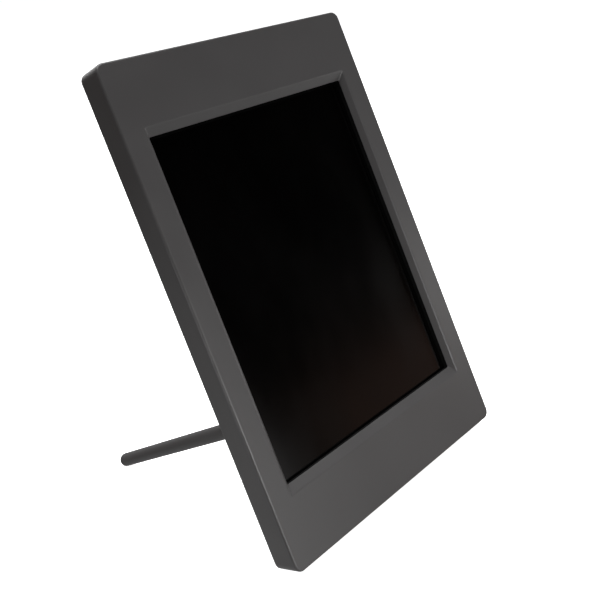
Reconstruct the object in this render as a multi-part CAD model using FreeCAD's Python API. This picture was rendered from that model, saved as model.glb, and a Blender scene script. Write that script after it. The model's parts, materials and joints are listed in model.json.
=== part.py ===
import FreeCAD, Part
import math
import os

from FreeCAD import Vector

# Desk photo frame: a leaning slab with a recessed 4:3 display, held up by one slanted rod.
# Everything is modelled in the slab's own axes, in millimetres: u to the viewer's right, v up the
# slab, n out of its front face, with u = v = n = 0 at the middle of the front face. The last step
# leans the slab back and puts the origin under the middle of the whole object.

LEAN_DEG = 22.0

# casing
HALF_W = 75.0
HALF_H = 115.5
DEPTH = 14.6
CORNER_R = 4.0
FRONT_EDGE_R = 1.0
BACK_EDGE_R = 0.6
WALL = 2.2
INNER_CORNER_R = CORNER_R - WALL

# window and its sloping lip
WINDOW_HALF = (61.0, 80.8)
LIP_HALF = (63.4, 85.0)
LIP_DEPTH = 3.0
WINDOW_FRAME_W = 5.4
WINDOW_FRAME_DEPTH = 3.2
WINDOW_CORNER_R = 1.0
LIP_CREASE_R = 1.2
LIP_EDGE_R = 0.3

# display stack, from the front to the back
GASKET_BACK = 5.8
GASKET_HALF = (65.5, 86.8)
GASKET_WINDOW_HALF = (61.3, 81.1)
GLASS_HALF = (65.8, 87.3)
GLASS_BACK = 7.0
GUIDE_HALF = (64.8, 86.0)
GUIDE_BACK = 8.6
TRAY_BACK = 9.0
TRAY_HALF = (66.2, 87.7)
TRAY_WALL = 0.4
TRAY_FRONT = 6.0
GLASS_CORNER_R = 0.5
LAMP_COUNT = 15
LAMP_PITCH = 8.0
LAMP_SIZE = (3.2, 0.7)
LAMP_CARRIER_L = 120.0
LAMP_CARRIER_T = 0.5
LAMP_GAP = 0.1

# ribbon from the display to the main board
FLEX_U = (0.0, 30.0)
FLEX_T = 0.2
FLEX_BEND_V = -90.6
FLEX_CONNECTOR_V = (-95.6, -91.6)
FLEX_CONNECTOR_H = 1.2
CONNECTOR_MARGIN = 2.0

# rear cover
COVER_FRONT = 12.8
COVER_BACK = 14.4
COVER_GAP = 0.15
COVER_PAD_FRONT = 11.65
COVER_PAD_R = 3.2

# casing screws
CASE_BOSS_R = 2.7
CASE_BOSS_BACK = 11.6
CASE_SCREW_PLACES = [
    (side * u, v) for side in (-1, 1) for u, v in ((69.2, 109.7), (69.4, 20.0), (69.2, -109.7))
]
PILOT_R = 1.2
THREAD_R = 1.15
SCREW_HOLE_R = 1.4
SCREW_WELL_R = 2.7
SCREW_WELL_FLOOR = 12.9
SCREW_HEAD_R = 2.3
SCREW_HEAD_H = 1.3
CROSS_W = 0.55
CROSS_L = 2.6
CROSS_DEPTH = 0.8
CASE_SCREW_FRONT = 4.8

# retaining clips for the display
CLIP_PLACES = [(-28.0, 93.5), (28.0, 93.5), (-60.0, -93.5), (-32.0, -93.5)]
CLIP_BOSS_R = 2.4
CLIP_BOSS_BACK = 9.1
CLIP_W = 8.0
CLIP_REACH = 9.5
CLIP_T = 0.8
SMALL_HEAD_R = 1.9
SMALL_HEAD_H = 1.0
SMALL_THREAD_R = 0.9
SMALL_PILOT_R = 0.95
SMALL_SCREW_FRONT = 4.5
HEAD_ROUNDING = 0.45

# main board, its parts and the sockets on the viewer's right
BOARD_FRONT = 9.2
BOARD_BACK = 10.0
BOARD_U = (-22.0, 72.2)
BOARD_V = (-106.6, -40.0)
BOARD_SCREW_PLACES = [(69.4, -43.5), (69.4, -82.0), (-15.0, -101.0), (34.0, -101.0)]
BOARD_BOSS_R = 2.2
SOCKET_U = BOARD_U[1] + 0.3
JACK_V = -101.5
JACK_SIZE = (11.0, 9.0, 6.3)
JACK_BORE_R = 2.8
JACK_BORE_L = 9.5
JACK_HOLE_R = 3.2
JACK_PIN_R = 1.0
JACK_PIN_SET_BACK = 1.0
USB_V = -92.2
USB_SIZE = (9.2, 7.7, 3.95)
USB_SHELL_T = 0.3
USB_BACK_WALL = 1.0
USB_TONGUE_HALF = (2.2, 0.5)
USB_TONGUE_SET_BACK = 1.5
CARD_V = -62.0
CARD_SIZE = (29.0, 28.0, 2.7)
CARD_SLOT = (24.6, 2.3)
CARD_BACK_WALL = 2.0
PORT_GAP = 0.3
# place, half size and height of the processor, two memories, two coils and a driver
CHIPS = [
    ((14.0, -64.0), (9.0, 9.0), 1.4),
    ((-8.0, -56.0), (6.0, 4.0), 1.0),
    ((-8.0, -70.0), (6.0, 4.0), 1.0),
    ((34.0, -86.0), (4.0, 4.0), 2.2),
    ((48.0, -88.0), (3.0, 3.0), 2.0),
    ((8.0, -88.0), (5.0, 3.0), 1.2),
]

# keys and the power switch on the back, on the viewer's right
KEY_U = 58.0
KEY_NAMES = ("menu", "up", "down", "back", "play", "enter")
KEY_TOP_V = 80.0
KEY_PITCH = 10.0
KEY_HALF_L = 5.5
KEY_R = 2.5
KEY_GAP = 0.2
KEY_PROUD = 0.7
KEY_EDGE_R = 0.35
KEY_FLANGE = (12.0, 12.7)
KEY_FLANGE_EXTRA = 0.9
KEY_BOARD_U = (51.0, 65.0)
KEY_BOARD_V = (3.0, 87.0)
KEY_SWITCH_HALF = (2.25, 2.25)
KEY_SWITCH_BACK = 11.0
PLUNGER_R = 1.1
PLUNGER_BACK = 11.5
KEY_POST_PLACES = [(61.8, 75.0), (54.2, 45.0), (61.8, 25.0)]
POST_R = 0.9
POST_SHOULDER_R = 1.5
POST_HOLE_R = 1.0
SWITCH_V = 17.0
SWITCH_HALF = (3.5, 5.0)
SWITCH_TRAVEL = 2.0
SWITCH_BACK = 12.1
SWITCH_KNOB_HALF = (1.5, 2.0)
SWITCH_KNOB_CORNER_R = 0.5
SWITCH_SLOT_CORNER_R = 0.6
SWITCH_FLANGE = (12.25, 12.65)
SWITCH_FLANGE_EXTRA = 0.8
SWITCH_GROOVE = 0.3
SWITCH_GROOVE_PITCH = 1.0

# flat cable between the two boards
RIBBON_U = (52.5, 56.5)
RIBBON_T = 0.15
RIBBON_HEIGHT = 0.3
RIBBON_V = (-45.0, 6.0)
RIBBON_CONNECTOR_L = 3.0
RIBBON_CONNECTOR_H = 1.0
RIBBON_CONNECTOR_MARGIN = 1.0

# speakers behind the top margin
SPEAKER_U = 50.0
SPEAKER_V = 101.0
SPEAKER_HALF = (14.0, 9.0)
SPEAKER_BACK = 12.7
SPEAKER_RIM = 9.9
SPEAKER_FLOOR = 9.1
BASKET_CORNER_R = 4.0
BASKET_WALL = 1.2
MAGNET_R = 6.5
MAGNET_HOLE_R = 5.0
MAGNET_EDGE_R = 0.4
MAGNET_FRONT = 6.6
SPEAKER_FENCE_T = 1.0
SPEAKER_FENCE_FRONT = 11.4
SPEAKER_FENCE_GAP = 0.1
CONE_GAP = 0.1
CONE_SURROUND = (10.6, 10.9)
CONE_RISE = 1.4
CONE_SPHERE_R = 9.0
CONE_T = 0.3
GRILLE_SLOTS = 7
GRILLE_PITCH = 3.0
GRILLE_HALF_L = 6.0
SLOT_W = 1.4
VENT_PLACE = (10.0, -66.0)
VENT_SLOTS = 9
VENT_PITCH = 3.4
VENT_HALF_L = 10.0

# leads from the speakers to the main board
LEAD_R = 0.6
LEAD_BEND_R = 3.0
LEAD_N = -10.65
LEAD_OFFSET = 4.0
LEAD_TURN_V = -34.0
LEAD_END_LEFT = (-24.0, -46.0)
LEAD_END_RIGHT = (36.0, -44.0)

# wall hangers
HANGER_U = 16.0
HANGER_V = 98.5
HANGER_HEAD_R = 4.0
HANGER_NECK_R = 2.0
HANGER_LIFT = 6.5
HANGER_POCKET_FLOOR = 9.4
HANGER_POCKET_MARGIN = 1.0
HANGER_POCKET_WALL = 0.8

# stand rod and its socket
ROD_ROOT = Vector(-52.0, -54.3, -DEPTH)
ROD_TIP_U = -68.0
ROD_TIP_N = -127.2
ROD_TIP_R = 3.48
ROD_ROOT_R = 3.8
SOCKET_OUT = 10.5
SOCKET_IN = 1.5
SOCKET_FLOOR = 1.1
SOCKET_BOSS_R = (8.6, 6.4)
SOCKET_BOSS_EDGE_R = 0.8
SLEEVE_R = 4.4
SPIGOT_R = 3.0
SPIGOT_GAP = 0.05
SPIGOT_END_GAP = 0.2
GRIP_RING_R = 0.8
GRIP_RING_AT = 4.0

# rubber feet under the bottom face
FOOT_U = (44.0, 64.0)
FOOT_N = (-13.6, -8.6)
FOOT_SEAT = 0.5
FLOOR_GAP = 0.4

# how far a cutting tool runs past a face, how far an added solid runs into its neighbour, and
# how near two lengths are when they count as the same
PAST = 1.0
INTO = 0.1
NEAR = 1e-6

LEAN = math.radians(LEAN_DEG)
SIN, COS = math.sin(LEAN), math.cos(LEAN)
# height of the middle of the front face above the surface that the object stands on
LIFT = HALF_H * COS + DEPTH * SIN + FLOOR_GAP


def floor_v(n):
    """The v at which the surface the object stands on meets depth n."""
    return (-LIFT - n * SIN) / COS


ROD_TIP = Vector(ROD_TIP_U, floor_v(ROD_TIP_N) + ROD_TIP_R / COS, ROD_TIP_N)
ROD_AXIS = (ROD_TIP - ROD_ROOT).normalize()
FRONT_REACH = -(HALF_H - FRONT_EDGE_R) * SIN + FRONT_EDGE_R * COS - FRONT_EDGE_R
BACK_REACH = ROD_TIP.y * SIN - ROD_TIP.z * COS + ROD_TIP_R
MIDDLE_Y = (FRONT_REACH + BACK_REACH) / 2


def placed(shape):
    """Leans a shape back and stands it on the surface."""
    shape.rotate(Vector(0, 0, 0), Vector(1, 0, 0), 90 - LEAN_DEG)
    shape.translate(Vector(0, -MIDDLE_Y, LIFT))
    return shape


def block(u, v, n):
    """A box between two values along each of u, v and n."""
    return Part.makeBox(u[1] - u[0], v[1] - v[0], n[1] - n[0], Vector(u[0], v[0], n[0]))


def disc(place, radius, n):
    """A round bar along n."""
    return Part.makeCylinder(radius, n[1] - n[0], Vector(place[0], place[1], n[0]))


def slab(half, n, corner_r=0.0, centre=(0.0, 0.0)):
    """A rectangular plate with rounded corners."""
    u = (centre[0] - half[0], centre[0] + half[0])
    v = (centre[1] - half[1], centre[1] + half[1])
    plate = block(u, v, n)
    if corner_r:
        uprights = [e for e in plate.Edges if abs(e.BoundBox.ZLength - (n[1] - n[0])) < NEAR]
        plate = plate.makeFillet(corner_r, uprights)
    return plate


def pill(centre, half_l, radius, n):
    """A plate with two round ends, long along u."""
    straight = half_l - radius
    middle = slab((straight, radius), n, centre=centre)
    ends = [disc((centre[0] + side * straight, centre[1]), radius, n) for side in (-1, 1)]
    return middle.multiFuse(ends).removeSplitter()


def rectangle(half, n):
    """A rectangular wire at depth n."""
    u, v = half
    corners = [Vector(-u, -v, n), Vector(u, -v, n), Vector(u, v, n), Vector(-u, v, n)]
    return Part.makePolygon(corners + corners[:1])


def along_u(profile, u):
    """A flat outline in v and n, given as corners, made solid between two values of u."""
    corners = [Vector(u[0], v, n) for v, n in profile]
    face = Part.Face(Part.makePolygon(corners + corners[:1]))
    return face.extrude(Vector(u[1] - u[0], 0, 0))


def on_rod(distance):
    """A point on the rod's axis, this far outside the back face."""
    return ROD_ROOT + ROD_AXIS * distance


def edges_at(shape, n):
    """The edges that lie wholly at depth n."""
    return [e for e in shape.Edges if all(abs(v.Z - n) < NEAR for v in e.Vertexes)]


def screw(place, head_front, head_r, head_h, thread_r, thread_front):
    """A pan-head screw driven from the back, with a cross recess."""
    back = -(head_front + head_h)
    head = disc(place, head_r, (back, -head_front))
    head = head.makeFillet(head_h * HEAD_ROUNDING, edges_at(head, back))
    body = head.fuse(disc(place, thread_r, (-head_front, -thread_front)))
    recess = (back, back + CROSS_DEPTH)
    arm = (CROSS_L / 2 * head_r / SCREW_HEAD_R, CROSS_W / 2)
    for half in (arm, arm[::-1]):
        body = body.cut(slab(half, recess, centre=place))
    return body


def window_cut():
    """The window's sloping funnel, running a little past the front face, and its straight throat."""
    grow = [(a - b) * (1 + PAST / LIP_DEPTH) for a, b in zip(LIP_HALF, WINDOW_HALF)]
    mouth = rectangle([w + g for w, g in zip(WINDOW_HALF, grow)], PAST)
    funnel = Part.makeLoft([rectangle(WINDOW_HALF, -LIP_DEPTH), mouth], True)
    mitres = [e for e in funnel.Edges if e.BoundBox.ZLength > LIP_DEPTH]
    funnel = funnel.makeFillet(WINDOW_CORNER_R, mitres)
    throat = Part.Face(Part.Wire(edges_at(funnel, -LIP_DEPTH))).extrude(Vector(0, 0, -PAST))
    return [funnel, throat]


def window_edges(shape, n):
    """The edges round the window at depth n."""
    u, v = LIP_HALF
    near = [(e, e.BoundBox.Center) for e in edges_at(shape, n)]
    return [e for e, middle in near if abs(middle.x) < u + WALL and abs(middle.y) < v + WALL]


def port_cuts():
    """The openings for the power plug, the USB plug and the memory card in the side wall."""
    wall = (HALF_W - WALL - PAST, HALF_W + PAST)
    jack_start = Vector(wall[0], JACK_V, -(BOARD_FRONT - JACK_SIZE[2] / 2))
    jack = Part.makeCylinder(JACK_HOLE_R, wall[1] - wall[0], jack_start, Vector(1, 0, 0))
    usb_half = USB_SIZE[1] / 2 + PORT_GAP
    usb_n = (-BOARD_FRONT - PORT_GAP, -(BOARD_FRONT - USB_SIZE[2]) + PORT_GAP)
    usb = block(wall, (USB_V - usb_half, USB_V + usb_half), usb_n)
    card_half = CARD_SLOT[0] / 2 + PORT_GAP
    card_mid = -(BOARD_BACK + CARD_SIZE[2] / 2)
    card_n = (card_mid - CARD_SLOT[1] / 2 - PORT_GAP, card_mid + CARD_SLOT[1] / 2 + PORT_GAP)
    card = block(wall, (CARD_V - card_half, CARD_V + card_half), card_n)
    return [jack, usb, card]


def front_housing():
    """The front face and the four side walls, one moulding open at the back."""
    shell = slab((HALF_W, HALF_H), (-DEPTH, 0), CORNER_R)
    shell = shell.makeFillet(FRONT_EDGE_R, edges_at(shell, 0))
    shell = shell.makeFillet(BACK_EDGE_R, edges_at(shell, -DEPTH))
    inner = (HALF_W - WALL, HALF_H - WALL)
    shell = shell.cut(slab(inner, (-DEPTH - PAST, -WALL), INNER_CORNER_R))
    frame_half = [w + WINDOW_FRAME_W for w in WINDOW_HALF]
    shell = shell.fuse(slab(frame_half, (-WINDOW_FRAME_DEPTH, -WALL + INTO)))
    shell = shell.cut(window_cut())
    shell = shell.makeFillet(LIP_CREASE_R, window_edges(shell, 0))
    shell = shell.makeFillet(LIP_EDGE_R, window_edges(shell, -LIP_DEPTH))
    added = []
    pilots = []
    for places, boss_r, boss_back, pilot_r in (
        (CASE_SCREW_PLACES, CASE_BOSS_R, CASE_BOSS_BACK, PILOT_R),
        (CLIP_PLACES, CLIP_BOSS_R, CLIP_BOSS_BACK, SMALL_PILOT_R),
        (BOARD_SCREW_PLACES, BOARD_BOSS_R, BOARD_FRONT, SMALL_PILOT_R),
    ):
        added += [disc(p, boss_r, (-boss_back, -WALL + INTO)) for p in places]
        pilots += [disc(p, pilot_r, (-boss_back - PAST, -WALL - PAST)) for p in places]
    shell = shell.multiFuse(added)
    seats = [foot_seat(side) for side in (-1, 1)]
    return shell.cut(pilots + port_cuts() + seats)


def foot_seat(side):
    """The shallow recess that a foot is glued into."""
    u = sorted(side * x for x in FOOT_U)
    return block(u, (-HALF_H - PAST, -HALF_H + FOOT_SEAT), FOOT_N)


def foot_pad(side):
    """A rubber wedge whose lower face lies flat on the surface."""
    back, front = FOOT_N
    seat = -HALF_H + FOOT_SEAT
    outline = [(seat, back), (seat, front), (floor_v(front), front), (floor_v(back), back)]
    return along_u(outline, sorted(side * x for x in FOOT_U))


def window_gasket():
    """The black foam frame between the casing and the display."""
    n = (-GASKET_BACK, -WINDOW_FRAME_DEPTH)
    return slab(GASKET_HALF, n).cut(slab(GASKET_WINDOW_HALF, n, WINDOW_CORNER_R))


def display_glass():
    return slab(GLASS_HALF, (-GLASS_BACK, -GASKET_BACK), GLASS_CORNER_R)


def light_guide():
    return slab(GUIDE_HALF, (-GUIDE_BACK, -GLASS_BACK))


def backlight_strip():
    """The row of light-emitting diodes on its carrier, along the light guide's lower edge."""
    lamp_l, lamp_h = LAMP_SIZE
    lamp_v = (-GUIDE_HALF[1] - LAMP_GAP - lamp_h, -GUIDE_HALF[1] - LAMP_GAP)
    n = (-GUIDE_BACK + LAMP_GAP, -GLASS_BACK - LAMP_GAP)
    strip = block((-LAMP_CARRIER_L / 2, LAMP_CARRIER_L / 2), (lamp_v[0] - LAMP_CARRIER_T, lamp_v[0]), n)
    lamps = []
    for i in range(LAMP_COUNT):
        u = (i - (LAMP_COUNT - 1) / 2) * LAMP_PITCH
        lamps.append(block((u - lamp_l / 2, u + lamp_l / 2), lamp_v, n))
    return strip.multiFuse(lamps).removeSplitter()


def display_tray():
    """The shallow folded steel tray that holds the glass and the light guide."""
    tray = slab(TRAY_HALF, (-TRAY_BACK, -TRAY_FRONT))
    inner = [h - TRAY_WALL for h in TRAY_HALF]
    tray = tray.cut(slab(inner, (-GUIDE_BACK, 0)))
    notch_u = (FLEX_U[0] - PAST, FLEX_U[1] + PAST)
    notch_v = (-TRAY_HALF[1] - PAST, -inner[1] + INTO)
    return tray.cut(block(notch_u, notch_v, (-GUIDE_BACK, 0)))


def display_flex():
    """The thin ribbon from the glass's lower edge, folded down to the connector on the board."""
    glass_edge = -GLASS_HALF[1]
    high = -(GASKET_BACK + GLASS_BACK) / 2
    low = -BOARD_FRONT + FLEX_CONNECTOR_H / 2
    end_v = FLEX_CONNECTOR_V[1]
    outline = [
        (glass_edge, high),
        (FLEX_BEND_V, high),
        (FLEX_BEND_V, low),
        (end_v, low),
        (end_v, low - FLEX_T),
        (FLEX_BEND_V + FLEX_T, low - FLEX_T),
        (FLEX_BEND_V + FLEX_T, high - FLEX_T),
        (glass_edge, high - FLEX_T),
    ]
    return along_u(outline, FLEX_U)


def flex_connector():
    n = (-BOARD_FRONT, -BOARD_FRONT + FLEX_CONNECTOR_H)
    return block((FLEX_U[0] - CONNECTOR_MARGIN, FLEX_U[1] + CONNECTOR_MARGIN), FLEX_CONNECTOR_V, n)


def retaining_clips():
    """Four small steel plates, screwed to the casing, that press on the tray's rim."""
    clips = []
    for u, v in CLIP_PLACES:
        side = math.copysign(1, v)
        ends = sorted((v - side * CLIP_REACH, v + side * CLIP_BOSS_R))
        n = (-CLIP_BOSS_BACK - CLIP_T, -CLIP_BOSS_BACK)
        plate = block((u - CLIP_W / 2, u + CLIP_W / 2), ends, n)
        clips.append(plate.cut(disc((u, v), SMALL_PILOT_R, n)))
    return Part.makeCompound(clips)


def small_screws(places, head_front):
    """The small screws that hold the display's clips and the main board."""
    size = (SMALL_HEAD_R, SMALL_HEAD_H, SMALL_THREAD_R, SMALL_SCREW_FRONT)
    return Part.makeCompound([screw(p, head_front, *size) for p in places])


def casing_screws():
    size = (SCREW_HEAD_R, SCREW_HEAD_H, THREAD_R, CASE_SCREW_FRONT)
    return Part.makeCompound([screw(p, SCREW_WELL_FLOOR, *size) for p in CASE_SCREW_PLACES])


def main_board():
    board = block(BOARD_U, BOARD_V, (-BOARD_BACK, -BOARD_FRONT))
    return board.cut([disc(p, SMALL_PILOT_R, (-BOARD_BACK, -BOARD_FRONT)) for p in BOARD_SCREW_PLACES])


def board_chips():
    """The chips and coils on the back of the main board."""
    depth = BOARD_BACK
    return Part.makeCompound([slab(half, (-depth - h, -depth), centre=p) for p, half, h in CHIPS])


def dc_jack():
    """The power socket: a moulded block with a blind round bore that opens to the side."""
    long, wide, high = JACK_SIZE
    body = block(
        (SOCKET_U - long, SOCKET_U),
        (JACK_V - wide / 2, JACK_V + wide / 2),
        (-BOARD_FRONT, -BOARD_FRONT + high),
    )
    middle = -BOARD_FRONT + high / 2
    start = Vector(SOCKET_U - JACK_BORE_L, JACK_V, middle)
    return body.cut(Part.makeCylinder(JACK_BORE_R, JACK_BORE_L, start, Vector(1, 0, 0)))


def dc_jack_pin():
    """The centre contact of the power socket."""
    middle = -BOARD_FRONT + JACK_SIZE[2] / 2
    start = Vector(SOCKET_U - JACK_BORE_L, JACK_V, middle)
    return Part.makeCylinder(JACK_PIN_R, JACK_BORE_L - JACK_PIN_SET_BACK, start, Vector(1, 0, 0))


def usb_port():
    """A small pressed-steel socket with a contact tongue."""
    long, wide, high = USB_SIZE
    v = (USB_V - wide / 2, USB_V + wide / 2)
    n = (-BOARD_FRONT, -BOARD_FRONT + high)
    shell = block((SOCKET_U - long, SOCKET_U), v, n)
    inner_end = SOCKET_U - long + USB_BACK_WALL
    hollow = block(
        (inner_end, SOCKET_U),
        (v[0] + USB_SHELL_T, v[1] - USB_SHELL_T),
        (n[0] + USB_SHELL_T, n[1] - USB_SHELL_T),
    )
    middle = (n[0] + n[1]) / 2
    half_v, half_n = USB_TONGUE_HALF
    tongue = block(
        (inner_end, SOCKET_U - USB_TONGUE_SET_BACK),
        (USB_V - half_v, USB_V + half_v),
        (middle - half_n, middle + half_n),
    )
    return shell.cut(hollow).fuse(tongue)


def card_slot():
    """The memory card socket: a low steel cover over a flat card space."""
    long, wide, high = CARD_SIZE
    body = block(
        (SOCKET_U - long, SOCKET_U),
        (CARD_V - wide / 2, CARD_V + wide / 2),
        (-BOARD_BACK - high, -BOARD_BACK),
    )
    middle = -BOARD_BACK - high / 2
    space = block(
        (SOCKET_U - long + CARD_BACK_WALL, SOCKET_U),
        (CARD_V - CARD_SLOT[0] / 2, CARD_V + CARD_SLOT[0] / 2),
        (middle - CARD_SLOT[1] / 2, middle + CARD_SLOT[1] / 2),
    )
    return body.cut(space)


def key_v(i):
    return KEY_TOP_V - i * KEY_PITCH


def key_board():
    """The narrow board under the keys, riveted to plastic posts of the rear cover."""
    n = (-BOARD_BACK, -BOARD_FRONT)
    board = block(KEY_BOARD_U, KEY_BOARD_V, n)
    return board.cut([disc(p, POST_HOLE_R, n) for p in KEY_POST_PLACES])


def key_switches():
    """One small push switch under each key."""
    switches = []
    for i in range(len(KEY_NAMES)):
        place = (KEY_U, key_v(i))
        body = slab(KEY_SWITCH_HALF, (-KEY_SWITCH_BACK, -BOARD_BACK), centre=place)
        switches.append(body.fuse(disc(place, PLUNGER_R, (-PLUNGER_BACK, -KEY_SWITCH_BACK))))
    return Part.makeCompound(switches)


def key(i):
    """A pill-shaped key with a flange that keeps it behind the rear cover."""
    place = (KEY_U, key_v(i))
    back = -(COVER_BACK + KEY_PROUD)
    cap = pill(place, KEY_HALF_L, KEY_R, (back, -KEY_FLANGE[0]))
    cap = cap.makeFillet(KEY_EDGE_R, edges_at(cap, back))
    flange_n = (-KEY_FLANGE[1], -KEY_FLANGE[0])
    flange = pill(place, KEY_HALF_L + KEY_FLANGE_EXTRA, KEY_R + KEY_FLANGE_EXTRA, flange_n)
    return cap.fuse(flange).removeSplitter()


def power_switch():
    """The body of the slide switch on the key board."""
    return slab(SWITCH_HALF, (-SWITCH_BACK, -BOARD_BACK), centre=(KEY_U, SWITCH_V))


def power_slider():
    """The knob of the slide switch, shown at the lower end of its travel."""
    place = (KEY_U, SWITCH_V - SWITCH_TRAVEL / 2)
    back = -(COVER_BACK + KEY_PROUD)
    knob = slab(SWITCH_KNOB_HALF, (back, -SWITCH_FLANGE[0]), SWITCH_KNOB_CORNER_R, place)
    flange_half = [h + SWITCH_FLANGE_EXTRA for h in SWITCH_KNOB_HALF]
    flange = slab(flange_half, (-SWITCH_FLANGE[1], -SWITCH_FLANGE[0]), centre=place)
    grooves = []
    for i in (-1, 0, 1):
        centre = (place[0], place[1] + i * SWITCH_GROOVE_PITCH)
        half = (SWITCH_KNOB_HALF[0] + PAST, SWITCH_GROOVE / 2)
        grooves.append(slab(half, (back, back + SWITCH_GROOVE), centre=centre))
    return knob.fuse(flange).cut(grooves)


def key_ribbon():
    """The flat cable from the key board down to the main board."""
    front = -BOARD_BACK - RIBBON_HEIGHT
    return block(RIBBON_U, RIBBON_V, (front - RIBBON_T, front))


def ribbon_connectors():
    """The two clamps that hold the flat cable's ends."""
    connectors = []
    u = (RIBBON_U[0] - RIBBON_CONNECTOR_MARGIN, RIBBON_U[1] + RIBBON_CONNECTOR_MARGIN)
    for end, way in zip(RIBBON_V, (-1, 1)):
        v = sorted((end, end + way * RIBBON_CONNECTOR_L))
        n = (-BOARD_BACK - RIBBON_CONNECTOR_H, -BOARD_BACK)
        connectors.append(block(u, v, n))
    return Part.makeCompound(connectors)


def speaker_basket(side):
    """The moulded speaker frame, open towards the rear cover, with a round hole for the motor."""
    place = (side * SPEAKER_U, SPEAKER_V)
    basket = slab(SPEAKER_HALF, (-SPEAKER_BACK, -SPEAKER_FLOOR), BASKET_CORNER_R, place)
    bowl = [h - BASKET_WALL for h in SPEAKER_HALF]
    bowl_r = BASKET_CORNER_R - BASKET_WALL
    basket = basket.cut(slab(bowl, (-SPEAKER_BACK, -SPEAKER_RIM), bowl_r, place))
    return basket.cut(disc(place, MAGNET_HOLE_R, (-SPEAKER_RIM, -SPEAKER_FLOOR)))


def speaker_cone(side):
    """The membrane: a flat surround with a shallow dome that bulges towards the rear cover."""
    place = (side * SPEAKER_U, SPEAKER_V)
    front, back = CONE_SURROUND
    inset = BASKET_WALL + CONE_GAP
    half = [h - inset for h in SPEAKER_HALF]
    surround = slab(half, (-back, -front), BASKET_CORNER_R - inset, place)
    reach = math.sqrt(CONE_SPHERE_R**2 - (CONE_SPHERE_R - CONE_RISE) ** 2)
    centre = Vector(place[0], place[1], -front - CONE_RISE + CONE_SPHERE_R)
    skin = Part.makeSphere(CONE_SPHERE_R, centre).cut(Part.makeSphere(CONE_SPHERE_R - CONE_T, centre))
    dome = skin.common(disc(place, reach + PAST, (-front - CONE_RISE - PAST, -front)))
    return surround.cut(disc(place, reach - CONE_T, (-back, -front))).fuse(dome)


def speaker_magnet(side):
    """The round motor behind the basket."""
    place = (side * SPEAKER_U, SPEAKER_V)
    magnet = disc(place, MAGNET_R, (-SPEAKER_FLOOR, -MAGNET_FRONT))
    return magnet.makeFillet(MAGNET_EDGE_R, edges_at(magnet, -MAGNET_FRONT))


def wire_path(points, bend_r):
    """Straight runs joined by tangent arcs."""
    edges = []
    start = points[0]
    for before, corner, after in zip(points, points[1:], points[2:]):
        way_in = (corner - before).normalize()
        way_out = (after - corner).normalize()
        turn = way_in.getAngle(way_out)
        setback = bend_r * math.tan(turn / 2)
        first = corner - way_in * setback
        last = corner + way_out * setback
        inward = (way_out - way_in).normalize()
        centre = corner + inward * (bend_r / math.cos(turn / 2))
        middle = centre - inward * bend_r
        edges.append(Part.LineSegment(start, first).toShape())
        edges.append(Part.Arc(first, middle, last).toShape())
        start = last
    edges.append(Part.LineSegment(start, points[-1]).toShape())
    return Part.Wire(edges)


def speaker_lead(side):
    """The twin lead from a speaker, down behind the display to the main board."""
    down_u = side * (SPEAKER_U - LEAD_OFFSET)
    end = LEAD_END_LEFT if side < 0 else LEAD_END_RIGHT
    route = [(down_u, SPEAKER_V - SPEAKER_HALF[1]), (down_u, LEAD_TURN_V), end]
    points = [Vector(u, v, LEAD_N) for u, v in route]
    path = wire_path(points, LEAD_BEND_R)
    first = (points[1] - points[0]).normalize()
    section = Part.Wire([Part.Circle(points[0], first, LEAD_R).toShape()])
    return path.makePipeShell([section], True, True)


def cover_openings():
    """Everything cut right through the rear cover."""
    through = (-COVER_BACK - PAST, -COVER_PAD_FRONT + PAST)
    skin = (-COVER_BACK - PAST, -COVER_FRONT + PAST)
    cuts = []
    for place in CASE_SCREW_PLACES:
        cuts.append(disc(place, SCREW_HOLE_R, through))
        cuts.append(disc(place, SCREW_WELL_R, (-COVER_BACK - PAST, -SCREW_WELL_FLOOR)))
    for i in range(len(KEY_NAMES)):
        cuts.append(pill((KEY_U, key_v(i)), KEY_HALF_L + KEY_GAP, KEY_R + KEY_GAP, skin))
    slot_half = (SWITCH_KNOB_HALF[0] + KEY_GAP, SWITCH_KNOB_HALF[1] + SWITCH_TRAVEL / 2 + KEY_GAP)
    cuts.append(slab(slot_half, skin, SWITCH_SLOT_CORNER_R, (KEY_U, SWITCH_V)))
    for side in (-1, 1):
        place = (side * SPEAKER_U, SPEAKER_V)
        cuts += grille_slots(place, GRILLE_SLOTS, GRILLE_PITCH, GRILLE_HALF_L, skin)
        cuts += hanger_cuts(side)
    return cuts + grille_slots(VENT_PLACE, VENT_SLOTS, VENT_PITCH, VENT_HALF_L, skin)


def grille_slots(centre, count, pitch, half_l, n):
    """A row of upright slots with round ends."""
    slots = []
    for i in range(count):
        u = centre[0] + (i - (count - 1) / 2) * pitch
        middle = slab((SLOT_W / 2, half_l - SLOT_W / 2), n, centre=(u, centre[1]))
        ends = [disc((u, centre[1] + way * (half_l - SLOT_W / 2)), SLOT_W / 2, n) for way in (-1, 1)]
        slots.append(middle.multiFuse(ends).removeSplitter())
    return slots


def hanger_cuts(side):
    """A keyhole: a round entry for the screw's head, with a narrow neck above it."""
    u = side * HANGER_U
    n = (-COVER_BACK - PAST, -HANGER_POCKET_FLOOR)
    half = HANGER_HEAD_R + HANGER_POCKET_MARGIN
    neck_top = HANGER_V + HANGER_LIFT
    pocket = block((u - half, u + half), (HANGER_V - half, neck_top + half), (-COVER_FRONT, n[1]))
    skin = (n[0], -COVER_FRONT + INTO)
    entry = disc((u, HANGER_V), HANGER_HEAD_R, skin)
    neck = block((u - HANGER_NECK_R, u + HANGER_NECK_R), (HANGER_V, neck_top), skin)
    return [pocket, entry, neck, disc((u, neck_top), HANGER_NECK_R, skin)]


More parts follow.
